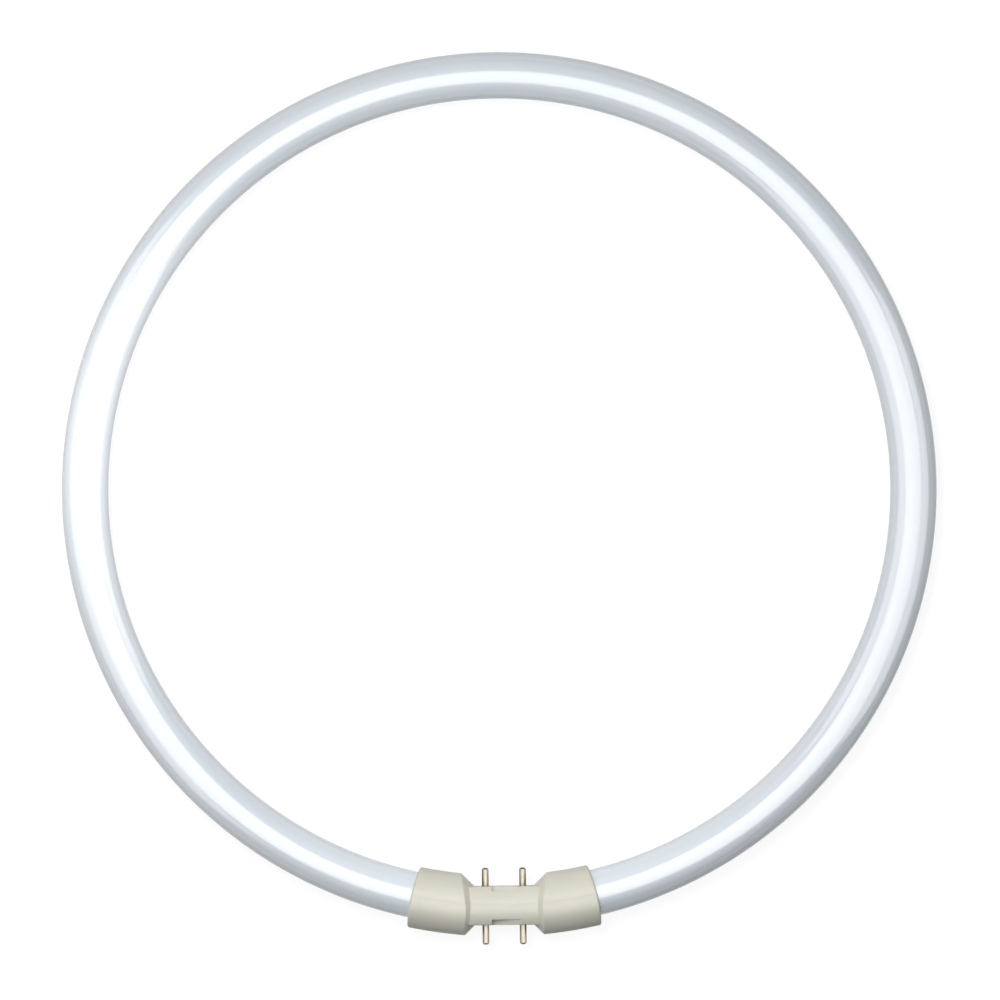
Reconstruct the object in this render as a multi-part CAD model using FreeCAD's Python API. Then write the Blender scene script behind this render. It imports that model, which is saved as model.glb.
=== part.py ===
"""Ring shaped fluorescent lamp: a circle of thin glass tube, whose two sealed ends meet
inside a plastic cap with four contact pins.

Millimetres. The origin is the ring's centre, halfway up the tube. +Z is the ring's axis
and points out of the lamp's front, and the cap is at -Y. The lamp lies on its back.
"""
import FreeCAD, Part
import math
import os

# Glass ring
GLASS_OD = 16.0            # outside diameter of the tube
RING_RADIUS = 142.0        # centreline of the tube
END_ROUND = 3.0            # rounding of the sealed ends
TIP_OD = 3.0               # melted-off exhaust tip at the middle of each sealed end
TIP_LENGTH = 3.6

# Cap: two shells that close round the glass
WALL = 1.5
GLASS_GAP = 0.3            # between the glass and the shells' walls
SEAT_FIT = 0.1             # between the glass and the ribs and lips that hold it
END_GAP = 0.35             # between the sealed ends and the cones' walls
COLLAR_FLAT = 1.5          # the collars are this much deeper on the ring's outside
COLLAR_REACH = 32.1        # from the cap's middle to a collar's mouth, along the glass
MOUTH_BULGE = 52.0         # radius of a mouth, as seen from the front
MOUTH_ROUND = 0.9
SHOULDER_ROUND = 0.5
CONE_ANGLE = 45.0          # of the cones between the collars and the neck
NECK_LENGTH = 20.2         # of the neck's flat sides, from cone to cone
NECK_HEIGHT = 13.3         # across the neck, along the pins
NECK_SHIFT = 0.17          # the neck's middle lies this far inside the collars' centreline
NECK_DROP = 1.7            # the neck's front and back lie this far in from the collars'
NECK_CROWN = 10.5          # radius of the neck's front and back
NECK_ROUND = 0.9           # along the neck's four edges
INNER_ROUND = 0.25         # the least that those edges are rounded inside the wall
PARTING_STEP = 0.3         # the shells part just outside the glass's widest place
RIB_WIDTH = 1.2
RIBS = 2                   # ribs that hold the glass, in each collar
RIB_START = 2.8            # from where the full tube stops to the first rib's middle
RIB_PITCH = 4.6
WEB_WIDTH = 1.2            # across the middle of the neck, between the two ends' wires
WEB_GAP = 0.1

# Parting of the shells: a fine seam outside, and inside it a tongue of the inner shell in a
# groove of the outer shell
SEAM_WIDTH = 0.24
SEAM_DEPTH = 0.2
TONGUE_SKIN = 0.45         # wall left outside the tongue
TONGUE_WIDTH = 0.6
TONGUE_HEIGHT = 1.0
TONGUE_FIT = 0.05

# Keying pockets in the long edges of the neck
POCKET_STEEP = 4.2         # from the middle to the steep end
POCKET_RUNOUT = 5.8        # from the middle to where the ramp reaches the surface
POCKET_DEEP = 3.4          # from the neck's front to the floor at the steep end
POCKET_SHALLOW = 1.1       # the same at the ramp's other end
POCKET_FALL = 0.6          # how steeply the floor falls towards the neck's flat side
OUTER_POCKET = 2.0         # from the neck's flat side into the front
INNER_POCKET = 1.6
POCKET_WALL = 1.0

# Contact pins: hollow, turned, each held by a flange behind the wall
PIN_OD = 2.35
PIN_SPACING = 12.8
INNER_PIN_REACH = 6.3      # out of the neck's inner side, towards the ring's centre
OUTER_PIN_REACH = 6.8
PIN_TIP_ROUND = 0.8
PIN_SEAT_OD = 2.8          # thicker part of a pin, where it goes through the wall
PIN_FIT = 0.03
PIN_HOLE_CHAMFER = 0.3
FLANGE_OD = 3.6
FLANGE_THICK = 0.8
TAIL_OD = 2.0
TAIL_LENGTH = 0.6
PIN_BORE = 1.0
PIN_SOLID_TIP = 1.8
STAKE_RING = 0.8           # wall of the ring that is closed over a pin's flange
STAKE_FIT = 0.05

# Lead wires from the glass ends into the pins
LEAD_OD = 0.6
LEAD_SPREAD = 2.6          # from the tube's centreline to a wire, at the seal
LEAD_STUB = 1.2            # straight out of the seal
LEAD_RUN = 3.0             # straight beside the pin, before the bend into it
LEAD_BEND = 1.1

# Worked out from the sizes above
GLASS_R = GLASS_OD / 2
COLLAR_R = GLASS_R + GLASS_GAP + WALL
COLLAR_CENTRE = RING_RADIUS + COLLAR_FLAT / 2
NECK_CENTRE = COLLAR_CENTRE - NECK_SHIFT
NECK_HALF = NECK_HEIGHT / 2
NECK_DEPTH = 2 * (COLLAR_R - NECK_DROP)
CONE_TURN = math.radians(CONE_ANGLE)
CONE_SLOPE = math.tan(CONE_TURN)
CONE_APEX = NECK_LENGTH / 2 - NECK_HALF / CONE_SLOPE
PARTING_RADIUS = RING_RADIUS + PARTING_STEP
MOUTH_TURN = COLLAR_REACH / RING_RADIUS
POCKET_FLOOR = NECK_DEPTH / 2 - POCKET_DEEP        # heights over the middle of the neck
POCKET_TOP = NECK_DEPTH / 2 - POCKET_SHALLOW
SEAT_R = GLASS_R + SEAT_FIT
PIN_X = PIN_SPACING / 2
FAR = 4 * GLASS_OD         # past the cap in every direction
OVERRUN = 1.2              # sweeps that are cut back at the mouths start this much longer
TINY = 0.01                # places closer than this are the same

V = FreeCAD.Vector
ORIGIN = V(0, 0, 0)
X_AXIS = V(1, 0, 0)
Y_AXIS = V(0, 1, 0)
Z_AXIS = V(0, 0, 1)


def on_ring(radius, turn):
    """Point at a radius from the ring's axis, turned from the cap's middle towards +X."""
    return V(radius * math.sin(turn), -radius * math.cos(turn), 0)


def along_ring(turn):
    """Direction along the ring at that turn, away from the cap's middle on the +X side."""
    return V(math.cos(turn), math.sin(turn), 0)


def end_turn():
    """Turn at which the full tube stops, so that its rounded end clears the cone's wall.

    The end comes nearest to the wall on the side towards the ring's axis. Its rounding has
    its centre there at the radius found first, and the wall must lie END_ROUND and the gap
    away from it, square to the cone.
    """
    rounding_centre = RING_RADIUS - GLASS_R + END_ROUND
    wall = WALL + CONE_APEX * math.sin(CONE_TURN) + NECK_CENTRE * math.cos(CONE_TURN)
    return CONE_TURN - math.acos((END_ROUND + END_GAP + wall) / rounding_centre)


def cylinder(radius, height, base, axis):
    return Part.makeCylinder(radius, height, base, axis)


def cuboid(low, high):
    """Box between two corners."""
    return Part.makeBox(high.x - low.x, high.y - low.y, high.z - low.z, low)


def both_sides(shape):
    """A shape and its mirror image at the other end of the cap."""
    return [shape, shape.mirror(ORIGIN, X_AXIS)]


def outline_face(edges):
    return Part.Face(Part.Wire([edge.toShape() for edge in edges]))


def turned(outline, base, axis):
    """Solid of revolution. The outline's points are (distance along the axis, radius)."""
    side = Z_AXIS.cross(axis)
    points = [base + axis * along + side * radius for along, radius in outline]
    wire = Part.makePolygon(points + points[:1])
    return Part.Face(wire).revolve(base, axis, 360)


def torus_arc(tube_radius, ring_radius, start, end):
    """Part of a torus round the ring's axis, between two turns in radians."""
    circle = Part.makeCircle(tube_radius, on_ring(ring_radius, 0), X_AXIS)
    face = Part.Face(Part.Wire([circle]))
    face.rotate(ORIGIN, Z_AXIS, math.degrees(start))
    return face.revolve(ORIGIN, Z_AXIS, math.degrees(end - start))


def ring_band(inner, outer):
    """Everything between two radii from the ring's axis, over the cap's depth."""
    outside = cylinder(outer, 2 * FAR, V(0, 0, -FAR), Z_AXIS)
    return outside.cut(cylinder(inner, 2 * FAR, V(0, 0, -FAR), Z_AXIS))


def radial_slab(place, width):
    """Slab across the glass at a place along it, square to the ring."""
    slab = cuboid(V(-width / 2, -RING_RADIUS - FAR, -FAR), V(width / 2, -RING_RADIUS + FAR, FAR))
    slab.rotate(ORIGIN, Z_AXIS, math.degrees(place / RING_RADIUS))
    return slab


def sealed_end():
    """Rounded end of the glass with its exhaust tip, on the +X side."""
    turn = end_turn()
    base = on_ring(RING_RADIUS, turn)
    axis = along_ring(turn) * -1
    side = Z_AXIS.cross(axis)

    def at(along, radius):
        return base + axis * along + side * radius

    tip_r = TIP_OD / 2
    tip_start = END_ROUND + TIP_LENGTH - tip_r
    slant = math.sqrt(0.5)
    shoulder = at(END_ROUND * slant, GLASS_R - END_ROUND * (1 - slant))
    tip_side = at(tip_start + tip_r * slant, tip_r * slant)
    edges = [
        Part.LineSegment(at(0, 0), at(0, GLASS_R)),
        Part.Arc(at(0, GLASS_R), shoulder, at(END_ROUND, GLASS_R - END_ROUND)),
        Part.LineSegment(at(END_ROUND, GLASS_R - END_ROUND), at(END_ROUND, tip_r)),
        Part.LineSegment(at(END_ROUND, tip_r), at(tip_start, tip_r)),
        Part.Arc(at(tip_start, tip_r), tip_side, at(tip_start + tip_r, 0)),
        Part.LineSegment(at(tip_start + tip_r, 0), at(0, 0)),
    ]
    return outline_face(edges).revolve(base, axis, 360)


def make_discharge_tube():
    turn = end_turn()
    ring = torus_arc(GLASS_R, RING_RADIUS, turn, 2 * math.pi - turn)
    return ring.fuse(both_sides(sealed_end()))


def collar_sweep(inset):
    """Both collars as one arc with an oblong section, a little past the mouths."""
    radius = COLLAR_R - inset
    inner = -RING_RADIUS
    outer = -RING_RADIUS - COLLAR_FLAT
    edges = [
        Part.LineSegment(V(0, inner, radius), V(0, outer, radius)),
        Part.Arc(V(0, outer, radius), V(0, outer - radius, 0), V(0, outer, -radius)),
        Part.LineSegment(V(0, outer, -radius), V(0, inner, -radius)),
        Part.Arc(V(0, inner, -radius), V(0, inner + radius, 0), V(0, inner, radius)),
    ]
    face = outline_face(edges)
    sweep = OVERRUN * math.degrees(MOUTH_TURN)
    face.rotate(ORIGIN, Z_AXIS, -sweep)
    return face.revolve(ORIGIN, Z_AXIS, 2 * sweep)


def cone_pair(inset):
    """Two cones along X with their points in the neck, widening towards the mouths."""
    apex = CONE_APEX + inset / math.sin(CONE_TURN)
    cone = turned([(apex, 0), (FAR, (FAR - apex) * CONE_SLOPE), (FAR, 0)],
                  V(0, -NECK_CENTRE, 0), X_AXIS)
    return Part.makeCompound(both_sides(cone))


def neck_block(inset):
    """The neck's crowned bar, long enough to end inside both cones."""
    half_height = NECK_HALF - inset
    half_depth = NECK_DEPTH / 2 - inset
    crown = NECK_CROWN - inset
    reach = CONE_APEX + math.hypot(NECK_HALF, NECK_DEPTH / 2) / CONE_SLOPE
    edge = half_depth - crown + math.sqrt(crown ** 2 - half_height ** 2)
    low = -NECK_CENTRE - half_height
    high = -NECK_CENTRE + half_height
    edges = [
        Part.LineSegment(V(-reach, low, -edge), V(-reach, low, edge)),
        Part.Arc(V(-reach, low, edge), V(-reach, -NECK_CENTRE, half_depth), V(-reach, high, edge)),
        Part.LineSegment(V(-reach, high, edge), V(-reach, high, -edge)),
        Part.Arc(V(-reach, high, -edge), V(-reach, -NECK_CENTRE, -half_depth),
                 V(-reach, low, -edge)),
    ]
    face = outline_face(edges)
    bar = face.extrude(V(2 * reach, 0, 0))
    long_edges = [e for e in bar.Edges if e.BoundBox.XLength > reach]
    return bar.makeFillet(max(NECK_ROUND - inset, INNER_ROUND), long_edges)


def mouth_cutter(inset):
    """What lies between the two mouths: their ends bulge a little, as seen from the front."""
    radius = MOUTH_BULGE - inset
    mouth = on_ring(COLLAR_CENTRE, MOUTH_TURN)
    centre = mouth - along_ring(MOUTH_TURN) * MOUTH_BULGE
    right = cylinder(radius, 2 * FAR, centre + V(0, 0, -FAR), Z_AXIS)
    return right.common(right.mirror(ORIGIN, X_AXIS))


def cap_form(inset):
    """The whole cap's outer form with every surface moved inwards by the inset."""
    collars = collar_sweep(inset).common(mouth_cutter(inset)).common(cone_pair(inset))
    return collars.fuse(neck_block(inset))


def is_mouth(face):
    return isinstance(face.Surface, Part.Cylinder) and abs(face.Surface.Axis.z) > 1 - TINY


def is_cone(face):
    return isinstance(face.Surface, Part.Cone)


def is_collar(face):
    """A collar's round sides, or the flats on its front and back."""
    surface = face.Surface
    return isinstance(surface, Part.Toroid) or (
        isinstance(surface, Part.Plane) and abs(surface.Axis.z) > 1 - TINY)


def edges_between(shape, is_one, is_other):
    """Edges that a face of one kind shares with a face of the other."""
    edges = [edge for face in shape.Faces if is_one(face) for edge in face.Edges]
    return [e for e in edges if any(is_other(f) for f in shape.ancestorsOfType(e, Part.Face))]


def rounded_cap():
    """The cap's outside, with rounded mouths and shoulders."""
    form = cap_form(0)
    form = form.makeFillet(MOUTH_ROUND, edges_between(form, is_mouth, is_collar))
    return form.makeFillet(SHOULDER_ROUND, edges_between(form, is_cone, is_collar))


def pocket(height, side):
    """Wedge cut into a front edge of the neck. side is 1 towards the ring's centre, or -1."""
    over = NECK_DEPTH
    reach = height + WALL
    wedge = Part.makePolygon([
        V(-POCKET_STEEP, 0, POCKET_FLOOR), V(POCKET_RUNOUT, 0, POCKET_TOP),
        V(POCKET_RUNOUT, 0, over), V(-POCKET_STEEP, 0, over), V(-POCKET_STEEP, 0, POCKET_FLOOR)])
    solid = Part.Face(wedge).extrude(V(0, side * reach, -POCKET_FALL * reach))
    solid.translate(V(0, -NECK_CENTRE + side * (NECK_HALF - height), 0))
    return solid


def front_and_back(shape):
    """The same at the back, turned half round about the neck's own Y line."""
    back = shape.copy()
    back.rotate(ORIGIN, Y_AXIS, 180)
    return [shape, back]


def pocket_backing(height, side):
    """Material left behind a pocket, so that it doesn't open the wall."""
    near = -NECK_CENTRE + side * (NECK_HALF - height - POCKET_WALL)
    far = -NECK_CENTRE + side * (NECK_HALF + WALL)
    return cuboid(V(-POCKET_STEEP - POCKET_WALL, min(near, far), POCKET_FLOOR - POCKET_WALL),
                  V(POCKET_RUNOUT + POCKET_WALL, max(near, far), NECK_DEPTH))


def pin_base(x, side):
    return V(x, -NECK_CENTRE + side * NECK_HALF, 0)


def pin_places(side):
    """Feet of the two pins on one side of the neck."""
    return [pin_base(-PIN_X, side), pin_base(PIN_X, side)]


def make_pin(base, side, reach):
    axis = Y_AXIS * side
    flange_foot = -WALL - FLANGE_THICK
    tail_end = flange_foot - TAIL_LENGTH
    outline = [(tail_end, 0), (tail_end, TAIL_OD / 2), (flange_foot, TAIL_OD / 2),
               (flange_foot, FLANGE_OD / 2), (-WALL, FLANGE_OD / 2), (-WALL, PIN_SEAT_OD / 2),
               (0, PIN_SEAT_OD / 2), (0, PIN_OD / 2), (reach, PIN_OD / 2), (reach, 0)]
    pin = turned(outline, base, axis)
    tip = base + axis * reach
    rim = [e for e in pin.Edges if e.Closed and e.CenterOfMass.distanceToPoint(tip) < TINY]
    pin = pin.makeFillet(PIN_TIP_ROUND, rim)
    bore = cylinder(PIN_BORE / 2, reach - PIN_SOLID_TIP - tail_end, base + axis * tail_end, axis)
    return pin.cut(bore)


def pin_hole(base, side):
    """Hole for a pin through the neck's wall, with a small chamfer outside."""
    axis = Y_AXIS * side
    radius = PIN_SEAT_OD / 2 + PIN_FIT
    chamfer = PIN_HOLE_CHAMFER
    outline = [(-2 * WALL, 0), (-2 * WALL, radius), (-chamfer, radius),
               (chamfer, radius + 2 * chamfer), (chamfer, 0)]
    return turned(outline, base, axis)


def stake_ring(base, side):
    """Ring on the wall's inside that a pin's flange lies in."""
    axis = Y_AXIS * side
    inner = FLANGE_OD / 2 + STAKE_FIT
    outline = [(-WALL - FLANGE_THICK, inner), (-WALL - FLANGE_THICK, inner + STAKE_RING),
               (-WALL / 2, inner + STAKE_RING), (-WALL / 2, inner)]
    return turned(outline, base, axis)


def glass_seat():
    """The glass's way in through the lips and ribs."""
    right = torus_arc(SEAT_R, RING_RADIUS, end_turn(), OVERRUN * MOUTH_TURN)
    return Part.makeCompound(both_sides(right))


def cap_cavity():
    """Space inside the closed cap: less its ribs, its middle web and the pockets' backing."""
    first = end_turn() * RING_RADIUS + RIB_START
    places = [first + RIB_PITCH * count for count in range(RIBS)]
    ribs = [rib for place in places for rib in both_sides(radial_slab(place, RIB_WIDTH))]
    backing = [piece for height, side in ((OUTER_POCKET, -1), (INNER_POCKET, 1))
               for piece in front_and_back(pocket_backing(height, side))]
    return cap_form(WALL).cut(ribs + backing)


def pin_sides():
    """Each side of the neck with its name and how far its pins reach."""
    return [("inner", 1, INNER_PIN_REACH), ("outer", -1, OUTER_PIN_REACH)]


def cap_walls():
    """Both shells in one, still closed on each other, with ribs and pin seats."""
    pockets = [piece for height, side in ((OUTER_POCKET, -1), (INNER_POCKET, 1))
               for piece in front_and_back(pocket(height, side))]
    feet = [(base, side) for name, side, reach in pin_sides() for base in pin_places(side)]
    walls = rounded_cap().cut([cap_cavity()] + pockets)
    walls = walls.fuse([stake_ring(base, side) for base, side in feet])
    return walls.cut([glass_seat()] + [pin_hole(base, side) for base, side in feet])


def tongue(fit):
    """Rib in the middle of the wall, all round the parting. The groove is larger by the fit."""
    layer = cap_form(TONGUE_SKIN - fit).cut(cap_form(TONGUE_SKIN + TONGUE_WIDTH + fit))
    root = PARTING_RADIUS - TONGUE_HEIGHT / 2
    band = ring_band(root, PARTING_RADIUS + TONGUE_HEIGHT + fit)
    return layer.common(band).cut(glass_seat())


def seam():
    """What the shells' eased edges leave open along the parting, on the cap's outside."""
    half = SEAM_WIDTH / 2
    return ring_band(PARTING_RADIUS - half, PARTING_RADIUS + half).cut(cap_form(SEAM_DEPTH))


def make_cap_shells():
    """The inner and the outer shell of the cap."""
    walls = cap_walls().cut(seam())
    inside = cylinder(PARTING_RADIUS, 2 * FAR, V(0, 0, -FAR), Z_AXIS)
    clear = cylinder(PARTING_RADIUS - WEB_GAP, 2 * FAR, V(0, 0, -FAR), Z_AXIS)
    web = cap_form(WALL).common(radial_slab(0, WEB_WIDTH))
    inner = walls.common(inside).fuse([tongue(0), web.common(clear)])
    outer = walls.cut([inside, tongue(TONGUE_FIT)]).fuse(web.cut(inside))
    return inner.removeSplitter(), outer.removeSplitter()


def rounded_path(points, bend):
    """Wire through points in one plane: straight runs with a tangent arc at each turn."""
    pieces = []
    start = points[0]
    for before, corner, after in zip(points, points[1:], points[2:]):
        arriving = (corner - before).normalize()
        leaving = (after - corner).normalize()
        turn = arriving.getAngle(leaving)
        back = bend * math.tan(turn / 2)
        first = corner - arriving * back
        last = corner + leaving * back
        inward = (leaving - arriving).normalize()
        middle = corner + inward * (bend / math.cos(turn / 2) - bend)
        pieces.append(Part.LineSegment(start, first).toShape())
        pieces.append(Part.Arc(first, middle, last).toShape())
        start = last
    pieces.append(Part.LineSegment(start, points[-1]).toShape())
    return Part.Wire(pieces)


def make_lead(side, reach):
    """Wire from the +X glass end into the pin on that side."""
    turn = end_turn()
    out = along_ring(turn) * -1
    inward = on_ring(1, turn) * -1
    seal = on_ring(RING_RADIUS, turn) + out * END_ROUND + inward * (side * LEAD_SPREAD)
    tail_end = NECK_HALF - WALL - FLANGE_THICK - TAIL_LENGTH
    level = -NECK_CENTRE + side * (tail_end - LEAD_BEND)
    bore_end = -NECK_CENTRE + side * (NECK_HALF + reach - PIN_SOLID_TIP)
    points = [seal, seal + out * LEAD_STUB, V(PIN_X + LEAD_RUN, level, 0), V(PIN_X, level, 0),
              V(PIN_X, bore_end, 0)]
    path = rounded_path(points, LEAD_BEND)
    section = Part.Wire([Part.makeCircle(LEAD_OD / 2, seal, out)])
    return path.makePipeShell([section], True, True)


def main():
    nodes = {"discharge_tube": make_discharge_tube()}
    nodes["cap_inner_shell"], nodes["cap_outer_shell"] = make_cap_shells()
    for name, side, reach in pin_sides():
        left, right = pin_places(side)
        nodes[name + "_pin_left"] = make_pin(left, side, reach)
        nodes[name + "_pin_right"] = make_pin(right, side, reach)
        right_lead, left_lead = both_sides(make_lead(side, reach))
        nodes[name + "_lead_left"] = left_lead
        nodes[name + "_lead_right"] = right_lead
    os.makedirs("parts", exist_ok=True)
    for name, shape in nodes.items():
        print(name, "solids", len(shape.Solids), "valid", shape.isValid(), round(shape.Volume, 2))
        shape.exportStep("parts/" + name + ".step")


main()
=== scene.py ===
"""Looks of a ring shaped fluorescent lamp that lies on a white floor, seen from straight above.

Metres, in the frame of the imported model: the origin is the ring's centre, +Z is the ring's
axis and points up, and the cap with its pins is at -Y.
"""
import bmesh
import bpy
import math
from mathutils import Matrix, Vector


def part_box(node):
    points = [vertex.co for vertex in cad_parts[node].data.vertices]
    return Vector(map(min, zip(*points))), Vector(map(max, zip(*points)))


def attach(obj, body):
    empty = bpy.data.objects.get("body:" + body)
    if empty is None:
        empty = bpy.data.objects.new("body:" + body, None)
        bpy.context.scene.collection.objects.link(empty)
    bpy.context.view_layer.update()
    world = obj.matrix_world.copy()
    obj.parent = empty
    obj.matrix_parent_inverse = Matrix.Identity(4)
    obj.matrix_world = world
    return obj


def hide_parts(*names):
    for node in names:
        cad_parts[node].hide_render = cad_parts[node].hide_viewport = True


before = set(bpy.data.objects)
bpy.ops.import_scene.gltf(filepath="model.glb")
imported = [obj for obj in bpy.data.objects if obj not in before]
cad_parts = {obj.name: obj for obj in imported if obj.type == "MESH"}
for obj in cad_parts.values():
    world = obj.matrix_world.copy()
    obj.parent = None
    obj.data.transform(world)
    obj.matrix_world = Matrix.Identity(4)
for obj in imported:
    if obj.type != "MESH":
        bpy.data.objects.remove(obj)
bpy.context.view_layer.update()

# Glass ring, as the frame has it
TUBE_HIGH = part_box("discharge_tube")[1]
GLASS_R = TUBE_HIGH.z
RING_R = TUBE_HIGH.x - GLASS_R
GLASS_END = 0.0176         # where the full tube stops, along its centreline from the cap's middle
END_ROUND = 0.003          # rounding of the sealed ends
TIP_R = 0.0015             # melted-off exhaust tip
TIP_LENGTH = 0.0036
STATIONS = 720             # sections along the ring
SIDES = 96                 # points round a section
ROUND_STEPS = 8

# What the photograph shows, in its pixels, and how the camera repeats it
PHOTO_SIZE = 1000
PHOTO_RING_CENTRE = (499.3, 489.5)
PHOTO_RING_RADIUS = 437.4  # outside of the glass
PHOTO_CAP_X = 504.2        # middle of the cap
PHOTO_CAP_RADIUS = 414.3   # from the ring's centre to the cap
SENSOR = 36.0              # millimetres
CAMERA_HEIGHT = 5.0

# Floor and light
FLOOR_SIZE = 9.0
FLOOR_GLOW = 0.89          # the part of the floor's white that a shadow can't darken
FLOOR_GREY = (0.1, 0.1, 0.1, 1.0)
FILL_COLOUR = (0.78, 0.93, 1.0, 1.0)
FILL_STRENGTH = 0.08       # of the light that comes from all round
WHITE = (1.0, 1.0, 1.0, 1.0)
ORIGIN = (0, 0, 0)         # the ring's centre

# Darker and lighter tint of each material's clouds
GLASS_TINTS = (0.655, 0.698, 0.748), (0.68, 0.718, 0.758)
PLASTIC_TINTS = (0.56, 0.545, 0.467), (0.59, 0.575, 0.497)
PIN_TINTS = (0.24, 0.212, 0.165), (0.29, 0.26, 0.21)
WIRE_TINTS = (0.62, 0.58, 0.52), (0.72, 0.68, 0.62)

# Heights of the surfaces' bumps
GLASS_GRAIN = 0.00001
GLASS_WAVE = 0.00012
PLASTIC_GRAIN = 0.00002
TURNED_RINGS = 0.000004

# Numbers of the sockets of a Mix node that mixes colours
MIX_FACTOR, MIX_FIRST, MIX_SECOND, MIX_RESULT = 0, 6, 7, 2


def link(obj):
    """Puts an object in the scene."""
    bpy.context.scene.collection.objects.link(obj)
    return obj


def sealed_end_profile():
    """Points (distance past the full tube, radius) of a sealed end, from the tube to the tip."""
    points = []
    for step in range(1, ROUND_STEPS + 1):
        turn = math.pi / 2 * step / ROUND_STEPS
        points.append((END_ROUND * math.sin(turn), GLASS_R - END_ROUND * (1 - math.cos(turn))))
    points.append((END_ROUND, TIP_R))
    tip_start = END_ROUND + TIP_LENGTH - TIP_R
    for step in range(ROUND_STEPS):
        turn = math.pi / 2 * step / ROUND_STEPS
        points.append((tip_start + TIP_R * math.sin(turn), TIP_R * math.cos(turn)))
    return points


def ring_section(turn, past, radius):
    """Circle of points round the ring's centreline. past moves it straight on towards the cap."""
    outward = Vector((math.sin(turn), -math.cos(turn), 0))
    ahead = Vector((math.cos(turn), math.sin(turn), 0)) * (-1 if turn < math.pi else 1)
    centre = outward * RING_R + ahead * past
    up = Vector((0, 0, 1))
    angles = [2 * math.pi * side / SIDES for side in range(SIDES)]
    return [centre + (outward * math.cos(a) + up * math.sin(a)) * radius for a in angles]


def make_glass():
    """The glass ring with its sealed ends, as one closed skin."""
    first = GLASS_END / RING_R
    last = 2 * math.pi - first
    end = sealed_end_profile()
    turns = [first + (last - first) * i / STATIONS for i in range(STATIONS + 1)]
    sections = [ring_section(first, past, radius) for past, radius in reversed(end)]
    sections += [ring_section(turn, 0, GLASS_R) for turn in turns]
    sections += [ring_section(last, past, radius) for past, radius in end]
    mesh = bmesh.new()
    rings = [[mesh.verts.new(point) for point in section] for section in sections]
    for ring, after in zip(rings, rings[1:]):
        for i in range(SIDES):
            j = (i + 1) % SIDES
            mesh.faces.new((ring[i], ring[j], after[j], after[i]))
    mesh.faces.new(reversed(rings[0]))
    mesh.faces.new(rings[-1])
    bmesh.ops.recalc_face_normals(mesh, faces=mesh.faces)
    for face in mesh.faces:
        face.smooth = True
    data = bpy.data.meshes.new("glass_ring")
    mesh.to_mesh(data)
    mesh.free()
    return link(bpy.data.objects.new("glass_ring", data))


class Material:
    """A node material with helpers that add and join nodes."""

    def __init__(self, name, **sockets):
        self.data = bpy.data.materials.new(name)
        self.data.use_nodes = True
        self.nodes = self.data.node_tree.nodes
        self.links = self.data.node_tree.links
        self.shader = self.nodes["Principled BSDF"]
        for socket, value in sockets.items():
            self.shader.inputs[socket.replace("_", " ")].default_value = value

    def node(self, kind, settings=None, **inputs):
        """New node with those settings and inputs, where an underscore stands for a space."""
        made = self.nodes.new(kind)
        for key, value in (settings or {}).items():
            setattr(made, key, value)
        for socket, value in inputs.items():
            self.join(value, made.inputs[socket.replace("_", " ")])
        return made

    def join(self, value, socket):
        """Links an output to the socket, or sets the socket to a value."""
        if isinstance(value, bpy.types.NodeSocket):
            self.links.new(value, socket)
        else:
            socket.default_value = value

    def place(self):
        """Coordinates in metres in the part's own frame."""
        return self.node("ShaderNodeTexCoord").outputs["Object"]

    def noise(self, scale, detail=3.0):
        """Noise with that many features to the metre."""
        made = self.node("ShaderNodeTexNoise", Vector=self.place(), Scale=scale, Detail=detail)
        return made.outputs["Fac"]

    def spread(self, value, low, high):
        """Noise, which mostly lies from 0.3 to 0.7, spread from low to high."""
        made = self.node("ShaderNodeMapRange", Value=value, From_Min=0.3, From_Max=0.7,
                         To_Min=low, To_Max=high)
        return made.outputs["Result"]

    def blend(self, factor, first, second):
        """Colour between two."""
        made = self.node("ShaderNodeMix", {"data_type": "RGBA"})
        self.join(factor, made.inputs[MIX_FACTOR])
        self.join((*first, 1.0), made.inputs[MIX_FIRST])
        self.join((*second, 1.0), made.inputs[MIX_SECOND])
        return made.outputs[MIX_RESULT]

    def bump(self, height, distance, strength=1.0):
        """Surface raised by up to that distance where the height is 1."""
        made = self.node("ShaderNodeBump", Height=height, Distance=distance, Strength=strength)
        return made.outputs["Normal"]

    def combine(self, operation, first, second):
        """Result of a calculation with two numbers."""
        made = self.node("ShaderNodeMath", {"operation": operation})
        self.join(first, made.inputs[0])
        self.join(second, made.inputs[1])
        return made.outputs[0]

    def seen_directly(self, strength):
        """That strength for the camera, reflections and refractions, and 0 for other light."""
        path = self.node("ShaderNodeLightPath")
        seen = path.outputs["Is Camera Ray"]
        for ray in ("Is Glossy Ray", "Is Transmission Ray"):
            seen = self.combine("MAXIMUM", seen, path.outputs[ray])
        return self.combine("MULTIPLY", seen, strength)

    def give(self, socket, value):
        """Sets an input of the shader."""
        self.join(value, self.shader.inputs[socket])

    def cloud(self, tints, scale, detail=3.0):
        """Base colour that drifts between two tints."""
        drift = self.spread(self.noise(scale, detail), 0.0, 1.0)
        self.give("Base Color", self.blend(drift, *tints))


def coated_glass():
    """Clear glass over a white powder coating: matt white under a smooth, slightly wavy gloss."""
    made = Material("coated_glass", Roughness=0.8, Specular_IOR_Level=0.1, IOR=1.45,
                    Coat_Weight=1.0, Coat_Roughness=0.15, Coat_IOR=1.7)
    made.cloud(GLASS_TINTS, 24.0, detail=4.0)
    made.give("Normal", made.bump(made.noise(5000.0), GLASS_GRAIN))
    made.give("Coat Normal", made.bump(made.noise(45.0, detail=1.0), GLASS_WAVE))
    return made.data


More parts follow.
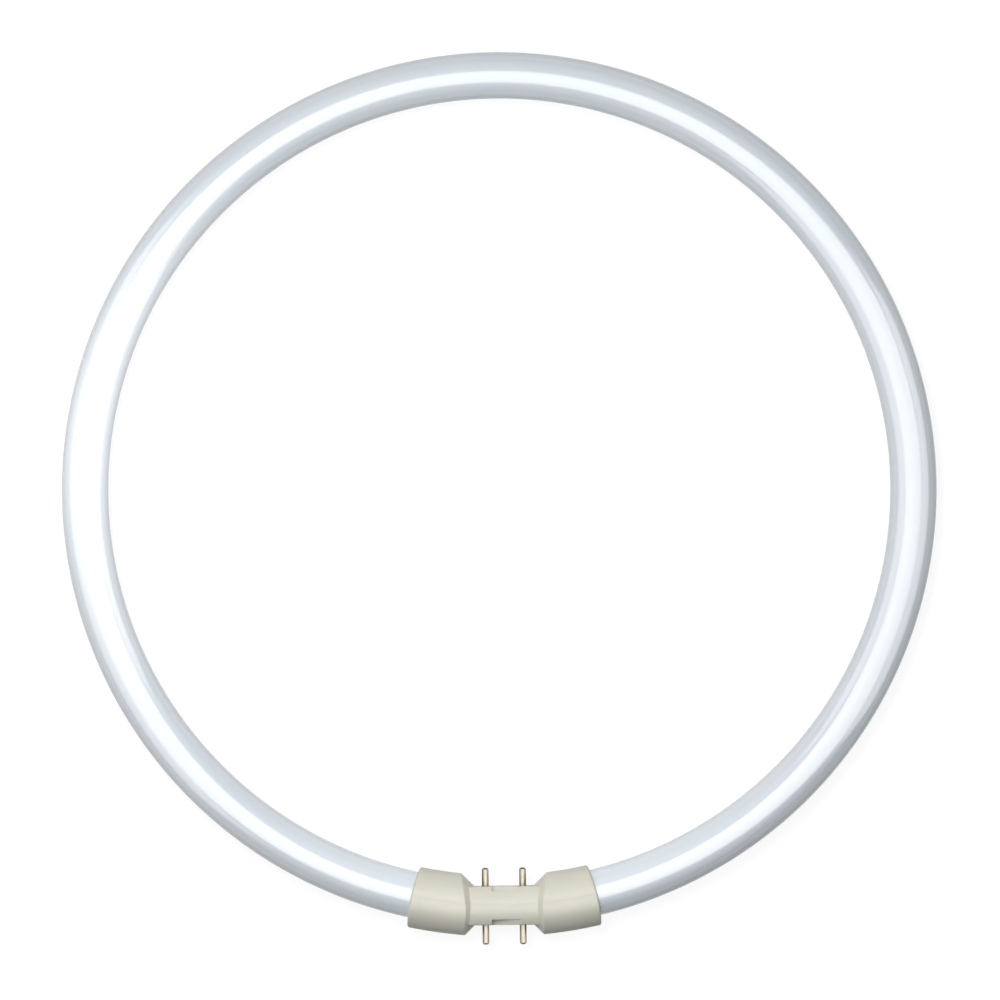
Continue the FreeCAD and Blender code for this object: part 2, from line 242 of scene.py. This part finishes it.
def cap_plastic():
    """Ivory moulded plastic with the fine grain of its mould."""
    made = Material("cap_plastic", IOR=1.47, Specular_IOR_Level=0.4, Subsurface_Weight=0.15,
                    Subsurface_Scale=0.001)
    made.cloud(PLASTIC_TINTS, 90.0, detail=5.0)
    made.give("Roughness", made.spread(made.noise(700.0), 0.38, 0.5))
    made.give("Normal", made.bump(made.noise(4500.0, detail=2.0), PLASTIC_GRAIN, strength=0.6))
    return made.data


def pin_metal():
    """Nickel plated brass, turned, with fine rings round each pin."""
    made = Material("pin_metal", Metallic=1.0)
    made.cloud(PIN_TINTS, 900.0, detail=4.0)
    made.give("Roughness", made.spread(made.noise(2500.0), 0.28, 0.4))
    rings = made.node("ShaderNodeTexWave", {"bands_direction": "Y"}, Vector=made.place(),
                      Scale=3500.0, Distortion=1.0, Detail=2.0)
    made.give("Normal", made.bump(rings.outputs["Fac"], TURNED_RINGS, strength=0.5))
    return made.data


def lead_wire():
    """Drawn wire, in the closed cap."""
    made = Material("lead_wire", Metallic=1.0)
    made.cloud(WIRE_TINTS, 1500.0)
    made.give("Roughness", made.spread(made.noise(3000.0), 0.25, 0.4))
    return made.data


def dress_nodes():
    """Gives each CAD node that stays in view its material."""
    finishes = {"cap": cap_plastic(), "pin": pin_metal(), "lead": lead_wire()}
    for name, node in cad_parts.items():
        for part, material in finishes.items():
            if part in name.split("_"):
                node.data.materials.clear()
                node.data.materials.append(material)


def make_floor():
    """White floor under the collars' mouths and the far side of the glass.

    Its glow is seen by the camera and in reflections, and lights nothing.
    """
    cap_low, cap_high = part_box("cap_outer_shell")
    near_y = -math.sqrt(RING_R ** 2 - cap_high.x ** 2)
    far_y = RING_R
    slope = math.atan2(-GLASS_R - cap_low.z, far_y - near_y)
    bpy.ops.mesh.primitive_plane_add(size=FLOOR_SIZE)
    floor = bpy.context.object
    floor.name = "floor"
    floor.rotation_euler.x = slope
    floor.location = (0, 0, -GLASS_R - far_y * math.tan(slope))
    made = Material("floor_white", Roughness=0.7, IOR=1.3)
    made.give("Base Color", FLOOR_GREY)
    made.give("Emission Color", WHITE)
    made.give("Emission Strength", made.seen_directly(FLOOR_GLOW))
    floor.data.materials.append(made.data)


def softbox(name, place, size, radiance, target=None, in_gloss=True, in_matt=True):
    """Area light of an even radiance, where 1 is the white of the picture.

    It points at the target, or straight down. in_gloss and in_matt say whether it shows in
    glossy reflections and whether it lights matt surfaces.
    """
    width, height = size
    light = bpy.data.lights.new(name, "AREA")
    light.shape = "RECTANGLE"
    light.size = width
    light.size_y = height
    light.energy = radiance * math.pi * width * height
    obj = link(bpy.data.objects.new(name, light))
    obj.location = place
    if target is not None:
        obj.rotation_euler = (Vector(target) - Vector(place)).to_track_quat("-Z", "Y").to_euler()
    obj.visible_camera = False
    obj.visible_glossy = in_gloss
    obj.visible_diffuse = in_matt


def make_lights():
    """Soft light from above and from both sides, as the photograph's highlights show it."""
    # Shades the tube and the cap from the upper left
    softbox("key_light", (-0.4, 0.65, 2.2), (0.4, 1.0), 29.5, in_gloss=False)
    # Makes the bright band along the tube and the pins
    softbox("band_softbox", (0.12, -0.26, 2.1), (3.63, 2.33), 3.9, in_matt=False)
    # Light the ring's two sides and the cap's two cones
    softbox("left_fill", (-1.0, -0.1, 1.5), (0.43, 3.0), 3.1, ORIGIN, in_gloss=False)
    softbox("right_fill", (1.6, 0.2, 1.6), (1.0, 1.0), 2.4, (0, 0.2, 0), in_gloss=False)
    # Make the fainter bands beside the bright one, from low on the left and the right
    softbox("left_softbox", (-1.9, -0.2, 1.05), (3.6, 1.6), 2.1, ORIGIN, in_matt=False)
    softbox("right_softbox", (1.9, -0.15, 0.9), (2.3, 1.3), 2.8, (0, -0.15, 0), in_matt=False)
    # Brighten the left of the ring, which is nearly white, and the inner side of the cap
    softbox("left_glow", (-0.105, 0.022, 0.065), (0.14, 0.05), 2.3, in_gloss=False)
    softbox("cap_glow", (0.0015, -0.08, 0.065), (0.1, 0.03), 1.9, (0.0015, -0.142, 0), in_gloss=False)


def make_world():
    """White for the camera, and for everything else a faint blue that fills the shadows."""
    world = bpy.data.worlds.new("studio")
    bpy.context.scene.world = world
    world.use_nodes = True
    nodes, links = world.node_tree.nodes, world.node_tree.links
    fill = nodes["Background"]
    fill.inputs["Color"].default_value = FILL_COLOUR
    fill.inputs["Strength"].default_value = FILL_STRENGTH
    seen = nodes.new("ShaderNodeBackground")
    seen.inputs["Color"].default_value = WHITE
    path = nodes.new("ShaderNodeLightPath")
    mix = nodes.new("ShaderNodeMixShader")
    links.new(path.outputs["Is Camera Ray"], mix.inputs[0])
    links.new(fill.outputs[0], mix.inputs[1])
    links.new(seen.outputs[0], mix.inputs[2])
    links.new(mix.outputs[0], nodes["World Output"].inputs["Surface"])


def make_camera():
    """Straight above, turned and placed so that the ring and the cap lie as in the photograph."""
    metres_per_pixel = TUBE_HIGH.x / PHOTO_RING_RADIUS
    centre_x, centre_y = PHOTO_RING_CENTRE
    roll = math.atan2(PHOTO_CAP_X - centre_x, PHOTO_CAP_RADIUS)
    data = bpy.data.cameras.new("camera")
    data.sensor_width = SENSOR
    data.lens = SENSOR * CAMERA_HEIGHT / (PHOTO_SIZE * metres_per_pixel)
    camera = link(bpy.data.objects.new("camera", data))
    turn = Matrix.Rotation(-roll, 3, "Z")
    offset = Vector((PHOTO_SIZE / 2 - centre_x, centre_y - PHOTO_SIZE / 2, 0))
    camera.location = turn @ (offset * metres_per_pixel) + Vector((0, 0, CAMERA_HEIGHT))
    camera.rotation_euler = (0, 0, -roll)
    bpy.context.scene.camera = camera


def main():
    scene = bpy.context.scene
    scene.view_settings.view_transform = "Standard"
    make_camera()
    glass = make_glass()
    glass.data.materials.append(coated_glass())
    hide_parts("discharge_tube")
    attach(glass, "root")
    dress_nodes()
    make_floor()
    make_lights()
    make_world()


main()
